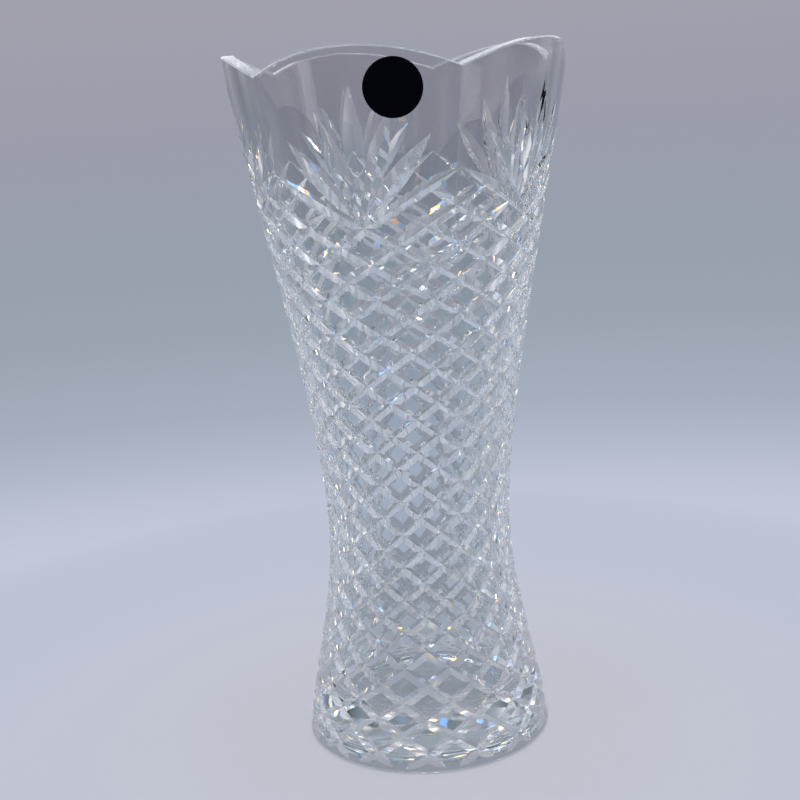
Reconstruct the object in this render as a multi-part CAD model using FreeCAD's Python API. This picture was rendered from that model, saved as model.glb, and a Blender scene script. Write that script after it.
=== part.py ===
import FreeCAD, Part
import math
import os

from FreeCAD import Vector

# A tall waisted vase of cut lead crystal, millimetres, +Z up. It rests on z = 0 and its axis is
# the Z axis. Angles are degrees about Z from the front (-Y), growing towards +X.

# Outside of the blank
HEIGHT = 254.0  # tip of a rim lobe
FOOT_RADIUS = 46.2  # where the wall would meet the resting plane
FOOT_HANDLE = 24.0  # height over which the foot keeps its own lean
FOOT_LEAN = 0.1  # inwards per millimetre of rise
HEEL_ROUNDING = 1.2
WAIST_RADIUS = 34.2
WAIST_HEIGHT = 82.0
WAIST_HANDLE_BELOW = 32.0
WAIST_HANDLE_ABOVE = 45.0
RIM_RADIUS = 60.4
RIM_HANDLE = 26.0  # height over which the rim keeps its own flare
RIM_FLARE = 0.07  # outwards per millimetre of rise

# Inside of the blank
RIM_WALL = 4.8
WAIST_WALL = 7.0
FLOOR_WALL = 8.0
FLOOR_THICKNESS = 15.0
FLOOR_ROUNDING = 9.0

# Rim: shallow lobes that meet in sharp notches
LOBES = 5
LOBE_CENTRE = -15.0  # angle of the first lobe's middle
NOTCH_DEPTH = 8.0

# Fans of mitre cuts, one under each lobe, all rays of a fan leaving one point
FAN_ROOT_DROP = 58.0  # below the tips of the lobes
RAY_ANGLES = (0.0, 12.5, 25.5, 36.0)  # from the fan's middle, the same on both sides
RAY_TIP_DROPS = (12.5, 20.0, 28.5, 39.6)  # below the tips of the lobes
RAY_WIDTH = 5.6
RAY_WIDEST = 0.55  # share of a ray's length at which it is widest
MITRE_ANGLE = 110.0  # included angle of the cutting wheel's edge
CUT_CLEARANCE = 0.8  # how far a cutter stands proud of the glass

# Underside: flat resting ring around a shallow recess
RING_WIDTH = 8.0
RECESS_DEPTH = 1.2

# Round paper label on the outside, under one lobe
LABEL_DIAMETER = 19.0
LABEL_THICKNESS = 0.2
LABEL_ADHESIVE = 0.05
LABEL_ANGLE = -1.0
LABEL_DROP = 13.8  # of its middle below the tips of the lobes


def bezier(points):
    curve = Part.BezierCurve()
    curve.setPoles([Vector(radius, 0, height) for radius, height in points])
    return curve


def wall_curves(foot_radius, waist_radius, rim_radius):
    """The wall's outline below and above the waist, as two smooth curves that meet upright."""
    below = bezier([
        (foot_radius, 0.0),
        (foot_radius - FOOT_LEAN * FOOT_HANDLE, FOOT_HANDLE),
        (waist_radius, WAIST_HEIGHT - WAIST_HANDLE_BELOW),
        (waist_radius, WAIST_HEIGHT),
    ])
    above = bezier([
        (waist_radius, WAIST_HEIGHT),
        (waist_radius, WAIST_HEIGHT + WAIST_HANDLE_ABOVE),
        (rim_radius - RIM_FLARE * RIM_HANDLE, HEIGHT - RIM_HANDLE),
        (rim_radius, HEIGHT),
    ])
    return below, above


OUTSIDE = wall_curves(FOOT_RADIUS, WAIST_RADIUS, RIM_RADIUS)
INSIDE = wall_curves(FOOT_RADIUS - FLOOR_WALL, WAIST_RADIUS - WAIST_WALL, RIM_RADIUS - RIM_WALL)


def point_at_height(curves, height):
    """The outline's point at a height, found by halving."""
    curve = curves[0] if height < WAIST_HEIGHT else curves[1]
    low, high = 0.0, 1.0
    for _ in range(50):
        middle = (low + high) / 2
        if curve.value(middle).z < height:
            low = middle
        else:
            high = middle
    return curve.value(low)


def on_glass(angle, height):
    """A point on the uncut outside."""
    radius = point_at_height(OUTSIDE, height).x
    turn = math.radians(angle)
    return Vector(radius * math.sin(turn), -radius * math.cos(turn), height)


def outward(angle, height):
    """The uncut outside's normal."""
    step = 0.05
    up = on_glass(angle, height + step) - on_glass(angle, height - step)
    around = on_glass(angle + step, height) - on_glass(angle - step, height)
    return around.cross(up).normalize()


def spun(outline):
    """A solid of revolution about Z from edges in the XZ plane that start and end on Z."""
    face = Part.Face(Part.Wire(outline))
    return face.revolve(Vector(), Vector(0, 0, 1), 360)


def line(start, end):
    return Part.LineSegment(Vector(start[0], 0, start[1]), Vector(end[0], 0, end[1])).toShape()


def outer_solid():
    below, above = OUTSIDE
    solid = spun([
        line((0, 0), (FOOT_RADIUS, 0)),
        below.toShape(),
        above.toShape(),
        line((RIM_RADIUS, HEIGHT), (0, HEIGHT)),
        line((0, HEIGHT), (0, 0)),
    ])
    heel = [edge for edge in solid.Edges if edge.BoundBox.ZMax < 1e-3 and edge.BoundBox.XLength > 1]
    return solid.makeFillet(HEEL_ROUNDING, heel)


def cavity_solid():
    below, above = INSIDE
    top = HEIGHT + CUT_CLEARANCE
    last = above.value(1.0).x
    start = point_at_height(INSIDE, FLOOR_THICKNESS)
    lower = below.toShape().common(Part.makeBox(
        2 * FOOT_RADIUS, 2, HEIGHT, Vector(0, -1, FLOOR_THICKNESS)
    )).Edges
    solid = spun([
        line((0, FLOOR_THICKNESS), (start.x, FLOOR_THICKNESS)),
        *lower,
        above.toShape(),
        line((last, HEIGHT), (last, top)),
        line((last, top), (0, top)),
        line((0, top), (0, FLOOR_THICKNESS)),
    ])
    corner = [
        edge for edge in solid.Edges
        if edge.BoundBox.ZMax < FLOOR_THICKNESS + 1e-3 and edge.BoundBox.XLength > 1
    ]
    return solid.makeFillet(FLOOR_ROUNDING, corner)


def rim_trim(centre_angle):
    """What is ground off above one lobe: all of its sector outside a lying cylinder."""
    half = math.pi / LOBES
    reach = 2 * RIM_RADIUS
    half_chord = RIM_RADIUS * math.sin(half)
    radius = (half_chord ** 2 + NOTCH_DEPTH ** 2) / (2 * NOTCH_DEPTH)
    bottom = HEIGHT - 2 * NOTCH_DEPTH
    side = reach * math.tan(half)
    corners = [
        Vector(0, 0, bottom),
        Vector(side, -reach, bottom),
        Vector(-side, -reach, bottom),
        Vector(0, 0, bottom),
    ]
    sector = Part.Face(Part.makePolygon(corners)).extrude(Vector(0, 0, 3 * NOTCH_DEPTH))
    cylinder = Part.makeCylinder(
        radius, reach, Vector(0, 0, HEIGHT - radius), Vector(0, -1, 0)
    )
    trim = sector.cut(cylinder)
    trim.rotate(Vector(), Vector(0, 0, 1), centre_angle)
    return trim


def mitre_section(point, along, normal, width):
    """The wheel edge's V at one place of a cut, standing a little proud of the glass."""
    flank = math.tan(math.radians(MITRE_ANGLE / 2))
    side = along.cross(normal).normalize()
    depth = width / 2 / flank
    reach = (depth + CUT_CLEARANCE) * flank
    top = point + normal * CUT_CLEARANCE
    left, right = top - side * reach, top + side * reach
    return Part.makePolygon([left, point - normal * depth, right, left])


def mitre_cut(places, widths):
    """A cutter through (point, normal) places, as wide at each as widths says."""
    points = [point for point, _ in places]
    sections = []
    for i, (point, normal) in enumerate(places):
        along = points[min(i + 1, len(points) - 1)] - points[max(i - 1, 0)]
        sections.append(mitre_section(point, along, normal, widths[i]))
    return Part.makeLoft(sections, True, True)


def leaf(share, widest, width):
    """Width of a leaf shaped cut at a share of its length, nothing at both ends."""
    if share < widest:
        return width * math.sin(math.pi / 2 * share / widest)
    return width * math.cos(math.pi / 2 * (share - widest) / (1 - widest))


def fan_ray(root_angle, turn, tip_drop, stations=8):
    places, widths = [], []
    for i in range(stations + 1):
        share = i / stations
        angle = root_angle + turn * share
        height = HEIGHT - FAN_ROOT_DROP + (FAN_ROOT_DROP - tip_drop) * share
        places.append((on_glass(angle, height), outward(angle, height)))
        widths.append(leaf(share, RAY_WIDEST, RAY_WIDTH))
    return mitre_cut(places, widths)


def fan_cuts(root_angle):
    """The cuts of one fan, from its root at an angle."""
    cuts = []
    for turn, tip_drop in zip(RAY_ANGLES, RAY_TIP_DROPS):
        sides = (1, -1) if turn else (1,)
        cuts += [fan_ray(root_angle, turn * sign, tip_drop) for sign in sides]
    return cuts


def crystal_body():
    glass = outer_solid().cut(cavity_solid())
    glass = glass.cut([rim_trim(LOBE_CENTRE + 360 / LOBES * k) for k in range(LOBES)])
    glass = glass.cut(Part.makeCylinder(FOOT_RADIUS - HEEL_ROUNDING - RING_WIDTH, RECESS_DEPTH))
    for k in range(LOBES):
        glass = glass.cut(fan_cuts(LOBE_CENTRE + 360 / LOBES * k))
    return glass


def label_layer(offset):
    """The space within an offset of the outside, near the rim."""
    foot, waist, rim = (r + offset for r in (FOOT_RADIUS, WAIST_RADIUS, RIM_RADIUS))
    _, above = wall_curves(foot, waist, rim)
    return spun([
        line((0, WAIST_HEIGHT), (waist, WAIST_HEIGHT)),
        above.toShape(),
        line((rim, HEIGHT), (0, HEIGHT)),
        line((0, HEIGHT), (0, WAIST_HEIGHT)),
    ])


def round_label():
    height = HEIGHT - LABEL_DROP
    centre = on_glass(LABEL_ANGLE, height)
    normal = outward(LABEL_ANGLE, height)
    depth = LABEL_DIAMETER / 4
    punch = Part.makeCylinder(LABEL_DIAMETER / 2, 2 * depth, centre - normal * depth, normal)
    paper = label_layer(LABEL_ADHESIVE + LABEL_THICKNESS).cut(label_layer(LABEL_ADHESIVE))
    return paper.common(punch)


def save(name, shape):
    solids = shape.Solids
    print(f"{name}: {len(solids)} solid, {shape.Volume / 1000:.2f} cm3, valid {shape.isValid()}")
    solids[0].exportStep(f"parts/{name}.step")


os.makedirs("parts", exist_ok=True)
save("crystal_body", crystal_body())
save("round_label", round_label())
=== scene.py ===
import math
import random

import bmesh
import bpy
from mathutils import Matrix, Vector


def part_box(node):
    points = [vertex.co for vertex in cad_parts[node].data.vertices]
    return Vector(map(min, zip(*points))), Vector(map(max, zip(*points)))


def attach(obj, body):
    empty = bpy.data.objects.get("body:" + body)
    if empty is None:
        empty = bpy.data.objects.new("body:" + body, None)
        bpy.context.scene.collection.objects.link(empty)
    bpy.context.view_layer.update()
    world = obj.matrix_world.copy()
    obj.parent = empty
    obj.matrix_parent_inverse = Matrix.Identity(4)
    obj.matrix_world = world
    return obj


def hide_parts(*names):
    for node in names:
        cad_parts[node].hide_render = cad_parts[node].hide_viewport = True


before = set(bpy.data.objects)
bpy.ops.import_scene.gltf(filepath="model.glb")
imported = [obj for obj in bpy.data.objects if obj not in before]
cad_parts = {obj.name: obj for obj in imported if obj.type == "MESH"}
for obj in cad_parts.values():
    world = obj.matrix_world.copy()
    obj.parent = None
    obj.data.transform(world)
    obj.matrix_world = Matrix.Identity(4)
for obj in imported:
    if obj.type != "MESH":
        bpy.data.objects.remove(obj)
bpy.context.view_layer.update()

# A waisted vase of cut lead crystal. Sizes are millimetres until a mesh is wrapped round the vase's
# axis, which is Z. Angles are degrees from the front (-Y), growing towards +X.
MM = 0.001

# Outline of the uncut glass, as in the design: two curves that meet upright at the waist
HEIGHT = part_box("crystal_body")[1][2] / MM
FOOT_RADIUS = 46.2
FOOT_HANDLE, FOOT_LEAN = 24.0, 0.1
WAIST_RADIUS, WAIST_HEIGHT = 34.2, 82.0
WAIST_HANDLE_BELOW, WAIST_HANDLE_ABOVE = 32.0, 45.0
RIM_RADIUS = 60.4
RIM_HANDLE, RIM_FLARE = 26.0, 0.07
RIM_WALL, WAIST_WALL, FLOOR_WALL = 4.8, 7.0, 8.0
FLOOR_THICKNESS, FLOOR_ROUNDING = 15.0, 9.0
HEEL_ROUNDING = 1.2

# Rim
LOBES = 5
LOBE_CENTRE = -15.0
NOTCH_DEPTH = 8.0
RIM_BEVEL = 0.55

# The cutting plan is drawn flat: X is the angle times FLAT_RADIUS, Y the height, Z out of the glass
FLAT_RADIUS = 45.0
FLAT_THICKNESS = 4.0
COLUMNS = 120  # of the blank's mesh, round the vase
ROW = 2.04  # height of one row of the blank's mesh
MITRE_ANGLE = 112.0  # included angle of the cutting wheel's edge
STAND_PROUD = 0.7  # how far a wheel reaches out of the glass, in half widths of its cut
FACE_ON = 0.97  # a face whose normal points this much out of the flat glass is uncut
CREASE = 14  # angle from which two faces of the cut wall meet in a crease
NARROWEST = 0.02

# Lattice: two hands of cuts that climb round the vase
LATTICE_STEP = 6.11  # height between one row of crossings and the next
LATTICE_COUNT = 15  # cuts of each hand round the vase
LATTICE_TOP = 196.0  # height of the fans' roots
LATTICE_BOTTOM = 2.2
LATTICE_WIDTH = 4.0
LATTICE_STATIONS = 120
DRIFT = 4.5  # how far the lattice leans round the vase at its middle
DRIFT_FULLNESS = 0.7  # under 1 keeps the lean over more of the height

# Fans: the cuts above the lattice's own two outermost, on both sides of a fan's middle
RAY_ANGLES = (0.0, 12.5, 25.5)
RAY_TIPS = (241.5, 234.0, 225.5)
RAY_WIDTH = 5.6
RAY_WIDEST = 0.55  # share of a ray's length at which it is widest
RAY_STATIONS = 16

# Underside
RING_WIDTH = 8.0
RECESS_DEPTH = 1.2
RECESS_RADIUS = FOOT_RADIUS - HEEL_ROUNDING - RING_WIDTH


# Outline

def bezier(p0, p1, p2, p3, t):
    """The point at a share t of a curve through two ends, pulled by two handles."""
    s = 1 - t
    return tuple(
        s ** 3 * a + 3 * s * s * t * b + 3 * s * t * t * c + t ** 3 * d
        for a, b, c, d in zip(p0, p1, p2, p3)
    )


def wall_curve(foot, waist, rim, samples=160):
    """Points (radius, height) of a wall from the resting plane to the rim."""
    below = (
        (foot, 0.0),
        (foot - FOOT_LEAN * FOOT_HANDLE, FOOT_HANDLE),
        (waist, WAIST_HEIGHT - WAIST_HANDLE_BELOW),
        (waist, WAIST_HEIGHT),
    )
    above = (
        (waist, WAIST_HEIGHT),
        (waist, WAIST_HEIGHT + WAIST_HANDLE_ABOVE),
        (rim - RIM_FLARE * RIM_HANDLE, HEIGHT - RIM_HANDLE),
        (rim, HEIGHT),
    )
    points = [bezier(*below, i / samples) for i in range(samples)]
    return points + [bezier(*above, i / samples) for i in range(samples + 1)]


OUTSIDE = wall_curve(FOOT_RADIUS, WAIST_RADIUS, RIM_RADIUS)
INSIDE = wall_curve(FOOT_RADIUS - FLOOR_WALL, WAIST_RADIUS - WAIST_WALL, RIM_RADIUS - RIM_WALL)


def radius_at(curve, height):
    """Radius of a wall at a height, by halving and a straight step between two samples."""
    low, high = 0, len(curve) - 1
    while high - low > 1:
        middle = (low + high) // 2
        if curve[middle][1] <= height:
            low = middle
        else:
            high = middle
    (r0, z0), (r1, z1) = curve[low], curve[high]
    return r0 + (r1 - r0) * (height - z0) / (z1 - z0)


def on_round(radius, angle, height):
    """The point in metres at a radius and height in millimetres and an angle in degrees."""
    turn = math.radians(angle)
    return Vector((radius * math.sin(turn), -radius * math.cos(turn), height)) * MM


def flat_x(angle):
    """Where an angle round the vase lies on the flat plan."""
    return math.radians(angle) * FLAT_RADIUS


# Geometry node trees

class Tree:
    """A geometry node tree being written."""

    def __init__(self, name):
        self.tree = bpy.data.node_groups.new(name, "GeometryNodeTree")
        self.socket("Geometry", "Geometry", "OUTPUT")
        self.socket("Geometry", "Geometry")
        self.start = self.tree.nodes.new("NodeGroupInput")

    def socket(self, name, kind, in_out="INPUT"):
        return self.tree.interface.new_socket(name, in_out=in_out, socket_type="NodeSocket" + kind)

    def input(self, name, kind):
        self.socket(name, kind)
        return self.start.outputs[name]

    def node(self, kind, settings=None, inputs=None, output=0):
        """A node's output, with its settings set before its inputs."""
        node = self.tree.nodes.new(kind)
        for key, value in (settings or {}).items():
            setattr(node, key, value)
        for key, value in (inputs or {}).items():
            socket = node.inputs[key]
            if isinstance(value, bpy.types.NodeSocket):
                self.tree.links.new(value, socket)
            else:
                socket.default_value = value
        return node.outputs[output]

    def maths(self, operation, a, b=0.0):
        return self.node("ShaderNodeMath", {"operation": operation}, {0: a, 1: b})

    def point(self, x, y):
        return self.node("ShaderNodeCombineXYZ", None, {"X": x, "Y": y})

    def finish(self, geometry, material):
        """Ends the tree in Realize Instances and Set Material."""
        real = self.node("GeometryNodeRealizeInstances", None, {"Geometry": geometry})
        dressed = self.node("GeometryNodeSetMaterial", None, {"Geometry": real, "Material": material})
        end = self.tree.nodes.new("NodeGroupOutput")
        self.tree.links.new(dressed, end.inputs["Geometry"])
        return self.tree


def evaluate(source, tree, values):
    """The mesh that a tree makes of an object. The object goes afterwards."""
    modifier = source.modifiers.new("shape", "NODES")
    modifier.node_group = tree
    for item in tree.interface.items_tree:
        if item.in_out == "INPUT" and item.name in values:
            modifier[item.identifier] = values[item.name]
    source.update_tag()
    depsgraph = bpy.context.evaluated_depsgraph_get()
    mesh = bpy.data.meshes.new_from_object(source.evaluated_get(depsgraph))
    bpy.data.objects.remove(source)
    return mesh


def mitre_tree():
    """Cuts every line of a plan out of a blank with a wheel whose edge is a V. A line's own
    "width" is the width of the cut where the glass's face is."""
    t = Tree("mitre_cuts")
    plan = t.start.outputs["Geometry"]
    blank = t.input("Blank", "Object")
    flank = t.input("Flank", "Float")
    proud = t.input("Stand Proud", "Float")
    material = t.input("Material", "Material")
    width = t.node("GeometryNodeInputNamedAttribute", {"data_type": "FLOAT"}, {"Name": "width"})
    lines = t.node("GeometryNodeMeshToCurve", None, {"Mesh": plan})
    lines = t.node("GeometryNodeSetCurveNormal", {"mode": "Z_UP"}, {"Curve": lines})
    side = t.maths("ADD", 1.0, t.maths("MULTIPLY", proud, flank))
    edge = t.node("GeometryNodeCurvePrimitiveQuadrilateral", {"mode": "POINTS"}, {
        "Point 1": t.point(0.0, t.maths("DIVIDE", 1.0, flank)),
        "Point 2": t.point(t.maths("MULTIPLY", side, -1.0), t.maths("MULTIPLY", proud, -1.0)),
        "Point 3": t.point(0.0, t.maths("MULTIPLY", proud, -1.0)),
        "Point 4": t.point(side, t.maths("MULTIPLY", proud, -1.0)),
    })
    wheels = t.node("GeometryNodeCurveToMesh", None, {
        "Curve": lines, "Profile Curve": edge, "Scale": t.maths("MULTIPLY", width, 0.5),
        "Fill Caps": True,
    })
    island = t.node("GeometryNodeInputMeshIsland")
    wheels = t.node("GeometryNodeSplitToInstances", {"domain": "FACE"},
                    {"Geometry": wheels, "Group ID": island})
    uncut = t.node("GeometryNodeObjectInfo", None, {"Object": blank}, "Geometry")
    cut = t.node("GeometryNodeMeshBoolean", {"operation": "DIFFERENCE", "solver": "MANIFOLD"},
                 {"Mesh 1": uncut, "Mesh 2": wheels})
    cut = t.node("GeometryNodeTriangulate", None, {"Mesh": cut})
    return t.finish(cut, material)


def plain_object(name, vertices, edges, faces):
    """A linked object with a new mesh."""
    mesh = bpy.data.meshes.new(name)
    mesh.from_pydata(vertices, edges, faces)
    obj = bpy.data.objects.new(name, mesh)
    bpy.context.scene.collection.objects.link(obj)
    return obj


def ground(name, blank, cuts, material):
    """The blank's mesh after the cuts, each a list of (x, y, width) stations on the flat plan."""
    vertices, edges, widths = [], [], []
    for cut in cuts:
        first = len(vertices)
        vertices += [(x, y, 0.0) for x, y, _ in cut]
        widths += [width for _, _, width in cut]
        edges += [(i, i + 1) for i in range(first, len(vertices) - 1)]
    plan = plain_object(name, vertices, edges, [])
    plan.data.attributes.new("width", "FLOAT", "POINT").data.foreach_set("value", widths)
    mesh = evaluate(plan, mitre_tree(), {
        "Blank": blank,
        "Flank": math.tan(math.radians(MITRE_ANGLE / 2)),
        "Stand Proud": STAND_PROUD,
        "Material": material,
    })
    bpy.data.objects.remove(blank)
    return mesh


# Wall

def rim_height(angle):
    """Height of the rim at an angle: shallow arcs that meet in sharp notches."""
    half = math.pi / LOBES
    chord = RIM_RADIUS * math.sin(half)
    radius = (chord ** 2 + NOTCH_DEPTH ** 2) / (2 * NOTCH_DEPTH)
    pitch = 360 / LOBES
    off = (angle - LOBE_CENTRE + pitch / 2) % pitch - pitch / 2
    return HEIGHT - radius + math.sqrt(radius ** 2 - (RIM_RADIUS * math.sin(math.radians(off))) ** 2)


def wall_blank():
    """The uncut wall laid flat, its front up, closed all round, with the rim's lobes and bevels."""
    rows = round((HEIGHT - HEEL_ROUNDING) / ROW)
    vertices, faces = [], []
    for column in range(COLUMNS + 1):
        angle = -180 + 360 * column / COLUMNS
        rise = rim_height(angle) - RIM_BEVEL - HEEL_ROUNDING
        heights = [HEEL_ROUNDING + rise * row / rows for row in range(rows + 1)]
        top = heights[-1] + RIM_BEVEL
        outline = [(height, 0.0) for height in heights]
        outline += [(top, -RIM_BEVEL), (top, RIM_BEVEL - FLAT_THICKNESS)]
        outline += [(height, -FLAT_THICKNESS) for height in reversed(heights)]
        vertices += [(flat_x(angle), height, depth) for height, depth in outline]
    ring = len(vertices) // (COLUMNS + 1)
    for column in range(COLUMNS):
        start = column * ring
        for i in range(ring):
            j = (i + 1) % ring
            faces.append((start + i, start + ring + i, start + ring + j, start + j))
    faces.append(tuple(range(ring)))
    faces.append(tuple(reversed(range(COLUMNS * ring, COLUMNS * ring + ring))))
    return plain_object("wall_blank", vertices, [], faces)


def straight_cut(start, end, width, stations, shape):
    """Stations of a cut between two (angle, height) places."""
    cut = []
    for i in range(stations + 1):
        share = i / stations
        angle = start[0] + (end[0] - start[0]) * share
        height = start[1] + (end[1] - start[1]) * share
        cut.append((flat_x(angle), height, max(NARROWEST, width * shape(share))))
    return cut


def leaf(share):
    """Width that grows from nothing to its widest and back to nothing."""
    if share < RAY_WIDEST:
        return math.sin(math.pi / 2 * share / RAY_WIDEST)
    return math.cos(math.pi / 2 * (share - RAY_WIDEST) / (1 - RAY_WIDEST))


def run_out(share):
    """Full width, but tapered where the wheel comes into the glass and leaves it."""
    return min(1.0, 0.05 + share / 0.012, 0.05 + (1 - share) / 0.03)


def lattice_cuts(rng):
    """Both hands of the lattice. Each cut climbs from the heel to the zigzag between the fans."""
    pitch = 360 / LATTICE_COUNT
    slope = pitch / 2 / LATTICE_STEP
    per_lobe = LATTICE_COUNT // LOBES
    cuts = []
    for hand in (1, -1):
        for k in range(LATTICE_COUNT):
            base = LOBE_CENTRE + hand * pitch * k
            climb = (per_lobe - k % per_lobe) % per_lobe or per_lobe
            top = (base + hand * climb * pitch / 2, LATTICE_TOP + climb * LATTICE_STEP)
            bottom_height = LATTICE_BOTTOM + rng.uniform(-0.5, 0.5)
            bottom = (base - hand * slope * (LATTICE_TOP - bottom_height), bottom_height)
            width = LATTICE_WIDTH * rng.uniform(0.94, 1.06)
            nudge = rng.uniform(-0.25, 0.25)
            for turn in (-360, 0, 360):
                ends = [(angle + turn + nudge, height) for angle, height in (bottom, top)]
                cuts.append(straight_cut(*ends, width, LATTICE_STATIONS, run_out))
    return cuts


def fan_cuts():
    """The rays of every fan, each from the fan's root to its own tip."""
    cuts = []
    for lobe in range(-2, LOBES):
        root = (LOBE_CENTRE + 360 / LOBES * lobe, LATTICE_TOP)
        for turn, tip in zip(RAY_ANGLES, RAY_TIPS):
            for hand in ((1, -1) if turn else (1,)):
                end = (root[0] + hand * turn, tip)
                cuts.append(straight_cut(root, end, RAY_WIDTH, RAY_STATIONS, leaf))
    return cuts


def in_reach(cut):
    """Whether a cut touches the flat wall at all."""
    edge = flat_x(180)
    return any(-edge < x < edge for x, _, _ in cut)


def drift(height):
    """The lean of the lattice round the vase: none at the fans, most at the waist."""
    share = min(1.0, max(0.0, height / LATTICE_TOP))
    return DRIFT * math.sin(math.pi * share) ** DRIFT_FULLNESS


def wrap(x, height, depth):
    """Where a place of the flat wall lies on the vase."""
    angle = math.degrees(x / FLAT_RADIUS) + drift(height)
    if depth > -FLAT_THICKNESS / 2:
        return on_round(radius_at(OUTSIDE, height) + depth, angle, height)
    lift = (FLOOR_THICKNESS + FLOOR_ROUNDING - HEEL_ROUNDING) * (HEIGHT - height) / HEIGHT
    inner = height + lift
    return on_round(radius_at(INSIDE, inner) + FLAT_THICKNESS + depth, angle, inner)


def wall(material):
    """The cut wall, open at the bottom, wrapped round the axis."""
    rng = random.Random(7)
    cuts = [cut for cut in lattice_cuts(rng) + fan_cuts() if in_reach(cut)]
    mesh = ground("wall_plan", wall_blank(), cuts, material)
    bm = bmesh.new()
    bm.from_mesh(mesh)
    bmesh.ops.dissolve_degenerate(bm, dist=1e-4, edges=bm.edges)
    edge, bottom = flat_x(180) - 1e-3, HEEL_ROUNDING + 1e-3
    ends = [
        face for face in bm.faces
        if all(abs(v.co.x) > edge for v in face.verts) or all(v.co.y < bottom for v in face.verts)
    ]
    bmesh.ops.delete(bm, geom=ends, context="FACES")
    mark_creases(bm, CREASE)
    for name, measure in (("ground", how_ground), ("pane", is_pane)):
        layer = bm.faces.layers.float.new(name)
        for face in bm.faces:
            face[layer] = measure(face)
    for v in bm.verts:
        v.co = wrap(*v.co)
    return bm


def how_ground(face):
    """On the flat wall: 0 on the fire polished glass, 1 on the flanks of cuts, 2 on the rim."""
    place, facing = face.calc_center_median(), face.normal
    if facing.y > 0.5 and place.y > rim_height(math.degrees(place.x / FLAT_RADIUS)) - RIM_BEVEL:
        return 2.0
    return 1.0 if facing.z < FACE_ON and place.z > -FLAT_THICKNESS / 2 else 0.0


def is_pane(face):
    """Whether a face of the flat wall is outside glass that no wheel has touched."""
    return float(face.normal.z > FACE_ON and face.calc_center_median().z > -1e-3)


def mark_creases(bm, angle):
    """Smooth faces, with a sharp edge wherever two meet at more than an angle."""
    for edge in bm.edges:
        faces = edge.link_faces
        edge.smooth = len(faces) == 2 and edge.calc_face_angle(0.0) < math.radians(angle)
    for face in bm.faces:
        face.smooth = True


# Foot

def spun_strip(bm, profile):
    """Rings of (radius, height) points joined by quads, with the glass on their right hand."""
    rings = []
    for radius, height in profile:
        if radius == 0:
            rings.append([bm.verts.new(on_round(0, 0, height))] * COLUMNS)
            continue
        turns = [-180 + 360 * i / COLUMNS + drift(HEEL_ROUNDING) for i in range(COLUMNS)]
        rings.append([bm.verts.new(on_round(radius, turn, height)) for turn in turns])
    for near, far in zip(rings, rings[1:]):
        for i in range(COLUMNS):
            j = (i + 1) % COLUMNS
            corners = [near[i], near[j], far[j], far[i]]
            bm.faces.new(list(dict.fromkeys(corners)))


def quarter(centre, radius, start, end, steps):
    """Points of an arc about a (radius, height) centre."""
    points = []
    for i in range(steps + 1):
        turn = math.radians(start + (end - start) * i / steps)
        points.append((centre[0] + radius * math.cos(turn), centre[1] + radius * math.sin(turn)))
    return points


def foot_outside():
    """The rounded heel, the resting ring and the recess, as a list of points up to the axis."""
    wide = radius_at(OUTSIDE, HEEL_ROUNDING)
    heel = quarter((wide - HEEL_ROUNDING, HEEL_ROUNDING), HEEL_ROUNDING, 0, -90, 5)
    roof = [(RECESS_RADIUS * share, RECESS_DEPTH) for share in (1.0, 0.75, 0.5, 0.25)]
    return heel + [(RECESS_RADIUS, 0.0)] + roof + [(0, RECESS_DEPTH)]


def floor_inside():
    """The rounded corner of the cavity and its floor, from the wall to the axis."""
    height = FLOOR_THICKNESS + FLOOR_ROUNDING
    lift = (FLOOR_THICKNESS + FLOOR_ROUNDING - HEEL_ROUNDING) * (HEIGHT - HEEL_ROUNDING) / HEIGHT
    start = HEEL_ROUNDING + lift
    wide = radius_at(INSIDE, start)
    corner = quarter((wide - FLOOR_ROUNDING, start), FLOOR_ROUNDING, 0, -90, 8)
    low = corner[-1]
    return corner + [(low[0] * share, low[1]) for share in (0.75, 0.5, 0.25)] + [(0, low[1])]


def joined(parts):
    """One mesh of several that meet edge to edge."""
    bm = bmesh.new()
    for part in parts:
        mesh = bpy.data.meshes.new("part")
        part.to_mesh(mesh)
        part.free()
        bm.from_mesh(mesh)
        bpy.data.meshes.remove(mesh)
    seam = [v for v in bm.verts if v.is_boundary]
    bmesh.ops.remove_doubles(bm, verts=seam, dist=2e-6)
    return bm


def crystal(material):
    """The whole glass: wall, foot and cavity floor, closed, shaded by its own faces."""
    foot = bmesh.new()
    spun_strip(foot, list(reversed(foot_outside())))
    mark_creases(foot, 30)
    cavity = bmesh.new()
    spun_strip(cavity, floor_inside())
    mark_creases(cavity, 30)
    bm = joined([wall(material), foot, cavity])
    mesh = bpy.data.meshes.new("cut_crystal")
    bm.to_mesh(mesh)
    bm.free()
    mesh.materials.clear()
    mesh.materials.append(material)
    glass = bpy.data.objects.new("cut_crystal", mesh)
    bpy.context.scene.collection.objects.link(glass)
    weigh = glass.modifiers.new("facets", "WEIGHTED_NORMAL")
    weigh.keep_sharp = True
    weigh.mode = "FACE_AREA"
    depsgraph = bpy.context.evaluated_depsgraph_get()
    glass.data = bpy.data.meshes.new_from_object(glass.evaluated_get(depsgraph))
    glass.modifiers.clear()
    return glass


# Materials

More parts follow.
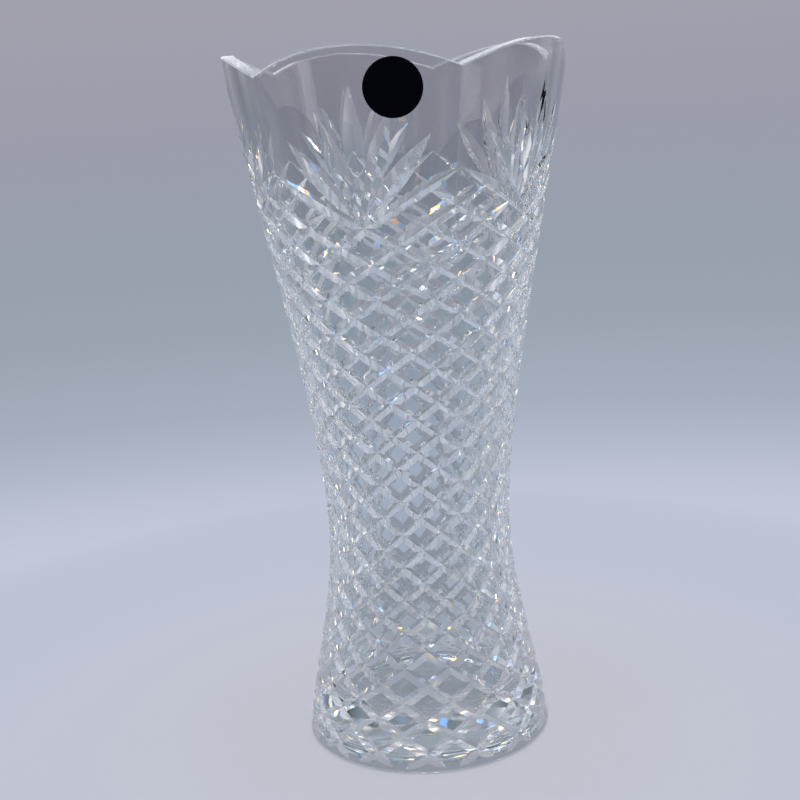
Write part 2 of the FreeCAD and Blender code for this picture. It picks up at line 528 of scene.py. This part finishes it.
class Shader:
    """The nodes of a material or a world. A wrapped socket adds Math nodes when it is used in an
    expression."""

    def __init__(self, owner):
        self.owner = owner
        owner.use_nodes = True
        self.tree = owner.node_tree
        self.tree.nodes.clear()

    def node(self, kind, settings=None, inputs=None, output=0):
        """A node's output, with its settings set before its inputs."""
        node = self.tree.nodes.new(kind)
        for key, value in (settings or {}).items():
            setattr(node, key, value)
        for key, value in (inputs or {}).items():
            self.feed(node.inputs[key], value)
        return Value(self, node.outputs[output])

    def feed(self, socket, value):
        if isinstance(value, Value):
            self.tree.links.new(value.socket, socket)
        else:
            socket.default_value = value

    def ramp(self, share, stops):
        """A colour that changes with a share, through (share, (r, g, b)) stops."""
        node = self.tree.nodes.new("ShaderNodeValToRGB")
        points = node.color_ramp.elements
        points[0].position, points[-1].position = stops[0][0], stops[-1][0]
        for at, _ in stops[1:-1]:
            points.new(at)
        for point, (_, colour) in zip(points, stops):
            point.color = (*colour, 1)
        self.feed(node.inputs[0], share)
        return Value(self, node.outputs[0])

    def mixed(self, share, a, b):
        """A colour between two, by a share."""
        return self.node("ShaderNodeMix", {"data_type": "RGBA"}, {0: share, 6: a, 7: b}, 2)

    def path(self, kind):
        return self.node("ShaderNodeLightPath", output=kind)

    def finish(self, surface):
        kind = "World" if isinstance(self.owner, bpy.types.World) else "Material"
        end = self.tree.nodes.new(f"ShaderNodeOutput{kind}")
        self.tree.links.new(surface.socket, end.inputs["Surface"])
        return self.owner


class Value:
    """A socket's output, for use in expressions."""

    def __init__(self, shader, socket):
        self.shader, self.socket = shader, socket

    def maths(self, operation, a, b):
        return self.shader.node("ShaderNodeMath", {"operation": operation}, {0: a, 1: b})

    def __add__(self, other):
        return self.maths("ADD", self, other)

    def __sub__(self, other):
        return self.maths("SUBTRACT", self, other)

    def __mul__(self, other):
        return self.maths("MULTIPLY", self, other)

    __radd__, __rmul__ = __add__, __mul__

    def __rsub__(self, other):
        return self.maths("SUBTRACT", other, self)

    def at_least(self, other):
        return self.maths("MAXIMUM", self, other)

    def below(self, other):
        return self.maths("LESS_THAN", self, other)


def lead_crystal():
    """Clear lead crystal, faintly cloudy in tint. Cut flanks are a little less polished than the
    blank. The uncut outside glass is painted darker from 165 mm up, as painted shade, and is
    darker and greener towards the bottom."""
    s = Shader(bpy.data.materials.new("lead_crystal"))
    place = s.node("ShaderNodeTexCoord", output="Object")
    cloud = s.node("ShaderNodeTexNoise", None, {"Vector": place, "Scale": 22.0, "Detail": 3.0})
    handled = s.node("ShaderNodeTexNoise", None, {"Vector": place, "Scale": 90.0, "Detail": 4.0})
    polish = s.node("ShaderNodeTexNoise", None, {"Vector": place, "Scale": 420.0, "Detail": 1.0})
    bump = s.node("ShaderNodeBump", None, {"Strength": 0.12, "Distance": 0.00004, "Height": polish})
    cut = s.node("ShaderNodeAttribute", {"attribute_name": "ground"}, None, "Fac")
    pane = s.node("ShaderNodeAttribute", {"attribute_name": "pane"}, None, "Fac")
    height = s.node("ShaderNodeSeparateXYZ", None, {0: place}, "Z")
    # Painted shade: the uncut outside glass is painted a darker grey from 165 mm up, fully from 215
    # mm
    top = s.node("ShaderNodeMapRange", None, {"Value": height, "From Min": 0.165, "From Max": 0.215})
    # Darker and greener towards the bottom, from 42 mm down to 15 mm; cut flanks there are also
    # rougher
    low = s.node("ShaderNodeMapRange", None, {"Value": height, "From Min": 0.042, "From Max": 0.015})
    body = s.mixed(cloud, (0.805, 0.854, 0.862, 1), (0.855, 0.894, 0.900, 1))
    body = s.mixed(top, body, (0.655, 0.642, 0.648, 1))
    body = s.mixed(low, body, (0.565, 0.640, 0.662, 1))
    glass = s.node("ShaderNodeBsdfPrincipled", None, {
        "Base Color": s.mixed(pane, (0.868, 0.891, 0.908, 1), body),
        "Roughness": handled * 0.02 + cut * (low * 0.08 + 0.02),
        "IOR": 1.545,
        "Transmission Weight": 1.0,
        "Normal": bump,
    })
    clear = s.node("ShaderNodeBsdfTransparent", None, {"Color": (0.965, 0.968, 0.972, 1)})
    lamplight = s.path("Is Shadow Ray").at_least(s.path("Is Diffuse Ray"))
    surface = s.node("ShaderNodeMixShader", None, {0: lamplight, 1: glass, 2: clear})
    return s.finish(surface)


def label_paper():
    """Blue-black matt paper with a fine fibre."""
    s = Shader(bpy.data.materials.new("label_paper"))
    place = s.node("ShaderNodeTexCoord", output="Object")
    fibre = s.node("ShaderNodeTexNoise", None, {"Vector": place, "Scale": 1400.0, "Detail": 4.0})
    patch = s.node("ShaderNodeTexNoise", None, {"Vector": place, "Scale": 160.0, "Detail": 2.0})
    bump = s.node("ShaderNodeBump", None, {"Strength": 0.25, "Distance": 0.00002, "Height": fibre})
    paper = s.node("ShaderNodeBsdfPrincipled", None, {
        "Base Color": s.mixed(fibre, (0.0003, 0.0003, 0.0022, 1), (0.0012, 0.0012, 0.005, 1)),
        "Roughness": 0.55 + patch * 0.12,
        "Specular IOR Level": 0.02,
        "Normal": bump,
    })
    return s.finish(paper)


# Studio

# Colour of the paper by how far a line of sight rises, plus a half
SWEEP = (
    (0.03, (0.546, 0.560, 0.638)), (0.08, (0.552, 0.571, 0.672)), (0.19, (0.546, 0.584, 0.708)),
    (0.216, (0.515, 0.552, 0.672)), (0.244, (0.440, 0.479, 0.591)), (0.272, (0.386, 0.429, 0.515)),
    (0.326, (0.332, 0.376, 0.445)), (0.38, (0.314, 0.352, 0.423)), (0.47, (0.328, 0.337, 0.413)),
    (0.56, (0.356, 0.361, 0.423)), (1.0, (0.40, 0.41, 0.46)),
)


def studio_world():
    """A soft grey-blue sweep of paper. The glass also mirrors white panels overhead, and bends
    sight to grey flags and to small high windows, themselves in rainbow colours."""
    s = Shader(bpy.data.worlds.new("studio"))
    bpy.context.scene.world = s.owner
    toward = s.node("ShaderNodeTexCoord", output="Generated")
    rise = s.node("ShaderNodeSeparateXYZ", None, {0: toward}, "Z")
    depth = s.node("ShaderNodeSeparateXYZ", None, {0: toward}, "Y")
    ahead = s.node("ShaderNodeMapRange", None, {"Value": depth, "From Min": 0.3, "From Max": -0.4})
    paper = s.ramp(rise + 0.5, SWEEP)
    high = s.node("ShaderNodeMapRange", None, {"Value": rise, "From Min": 0.10, "From Max": 0.35})
    patches = s.node("ShaderNodeTexNoise", None, {"Vector": toward, "Scale": 2.6, "Detail": 1.5})
    flags = s.ramp(patches, ((0.29, (0.01, 0.01, 0.015)), (0.35, (0.16, 0.19, 0.195)),
                             (0.48, (0.30, 0.33, 0.36)), (0.60, (0.60, 0.62, 0.68)),
                             (0.68, (1.4, 1.4, 1.4))))
    spots = s.node("ShaderNodeTexVoronoi", None, {"Vector": toward, "Scale": 7.0}, "Distance")
    parted = s.ramp(spots, ((0.09, (4.5, 4.5, 4.5)), (0.15, (4.2, 3.2, 0.6)),
                            (0.21, (3.2, 1.1, 0.3)), (0.25, (0.5, 1.6, 1.7)),
                            (0.31, (0.5, 0.8, 2.2)), (0.35, (0.4, 0.42, 0.5))))
    aside = s.node("ShaderNodeSeparateXYZ", None, {0: toward}, "X")
    aside = s.node("ShaderNodeMapRange", None, {"Value": aside * aside, "From Min": 0.06,
                                                "From Max": 0.3, "To Max": 0.5})
    windows = s.node("ShaderNodeMapRange", None, {"Value": rise, "From Min": 0.17, "From Max": 0.28})
    above = s.mixed(windows * spots.below(0.34), flags, parted)
    beyond = s.mixed(high.at_least(aside), paper, above)
    overhead = s.node("ShaderNodeMapRange", None, {"Value": rise, "From Min": 0.12, "From Max": 0.20})
    panels = s.mixed(0.6, flags, (1.9, 1.9, 2.0, 1))
    room = s.mixed(overhead, s.mixed(ahead, paper, (0.08, 0.08, 0.09, 1)), panels)
    seen = s.mixed(s.path("Is Glossy Ray"), paper, room)
    seen = s.mixed(s.path("Is Transmission Ray"), seen, beyond)
    seen = s.mixed(s.path("Is Diffuse Ray"), seen, (0.78, 0.79, 0.82, 1))
    return s.finish(s.node("ShaderNodeBackground", None, {"Color": seen}))


def studio_floor():
    """A pale paper floor, painted darker under the vase's foot as a contact shadow. It runs out into
    the sweep of paper away from the vase.
    """
    s = Shader(bpy.data.materials.new("paper_floor"))
    place = s.node("ShaderNodeTexCoord", output="Object")
    away = s.node("ShaderNodeVectorMath", {"operation": "LENGTH"}, {0: place}, "Value")
    grain = s.node("ShaderNodeTexNoise", None, {"Vector": place, "Scale": 900.0, "Detail": 2.0})
    # Painted contact shadow: under the foot the floor is a quarter of the way to near black, fading
    # out between 45.8 and 46.4 mm from the axis
    under = s.node("ShaderNodeMapRange", None, {"Value": away, "From Min": 0.0464,
                                                "From Max": 0.0458, "To Max": 0.25})
    sheet = s.ramp(away * 4.0, ((0.2, (0.605, 0.613, 0.665)), (0.8, (0.585, 0.612, 0.715))))
    sheet = s.mixed(grain * 0.06, sheet, (0.45, 0.46, 0.5, 1))
    paper = s.node("ShaderNodeBsdfPrincipled", None, {
        # the near black of the painted contact shadow
        "Base Color": s.mixed(under, sheet, (0.07, 0.08, 0.09, 1)),
        "Roughness": 0.9,
        "Specular IOR Level": 0.0,
    })
    gone = s.node("ShaderNodeBsdfTransparent")
    out = s.node("ShaderNodeMapRange", None, {"Value": away, "From Min": 0.12, "From Max": 0.30})
    material = s.finish(s.node("ShaderNodeMixShader", None, {0: out, 1: paper, 2: gone}))
    reach = 0.32
    corners = [(-reach, -reach, 0), (reach, -reach, 0), (reach, reach, 0), (-reach, reach, 0)]
    floor = plain_object("floor", corners, [], [(0, 1, 2, 3)])
    floor.data.materials.append(material)


def softbox(name, place, size, power, colour=(1, 1, 1)):
    """An area lamp aimed at the middle of the vase."""
    lamp = bpy.data.lights.new(name, "AREA")
    lamp.shape = "RECTANGLE"
    lamp.size, lamp.size_y = size
    lamp.energy = power
    lamp.color = colour
    obj = bpy.data.objects.new(name, lamp)
    bpy.context.scene.collection.objects.link(obj)
    aim = Vector((0, 0, HEIGHT * MM / 2)) - Vector(place)
    obj.matrix_world = Matrix.Translation(place) @ aim.to_track_quat("-Z", "Y").to_matrix().to_4x4()


def studio_camera():
    """Half a metre in front, level with the label, looking down a little and leaning a little."""
    pitch, yaw, roll = (math.radians(turn) for turn in (12.9975, -0.5507, -3.1956))
    ahead = Vector((math.sin(yaw) * math.cos(pitch), math.cos(yaw) * math.cos(pitch),
                    -math.sin(pitch)))
    right = Vector((math.cos(yaw), -math.sin(yaw), 0))
    up = right.cross(ahead)
    side = right * math.cos(roll) + up * math.sin(roll)
    top = up * math.cos(roll) - right * math.sin(roll)
    place = Vector((0, -1.93113, 0.94724)) * HEIGHT * MM
    camera = bpy.data.objects.new("camera", bpy.data.cameras.new("camera"))
    camera.data.lens = 61.2
    camera.matrix_world = Matrix((
        (side.x, top.x, -ahead.x, place.x),
        (side.y, top.y, -ahead.y, place.y),
        (side.z, top.z, -ahead.z, place.z),
        (0, 0, 0, 1),
    ))
    bpy.context.scene.collection.objects.link(camera)
    bpy.context.scene.camera = camera


def build():
    scene = bpy.context.scene
    scene.view_settings.view_transform = "Standard"
    scene.cycles.max_bounces = 32
    scene.cycles.transmission_bounces = 32
    scene.cycles.glossy_bounces = 24
    scene.cycles.transparent_max_bounces = 24
    scene.cycles.caustics_reflective = False
    scene.cycles.caustics_refractive = False
    studio_camera()
    studio_world()
    studio_floor()
    softbox("left_window", (-1.1, -0.5, 1.0), (0.5, 0.9), 1.6)
    softbox("right_window", (1.3, -0.3, 0.8), (0.3, 0.9), 1.0)
    softbox("ceiling", (0.1, 0.3, 1.9), (1.0, 0.6), 4)
    glass = crystal(lead_crystal())
    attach(glass, "root")
    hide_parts("crystal_body")
    label = bpy.data.objects["round_label"]
    for slot in label.material_slots:
        slot.material = label_paper()


build()
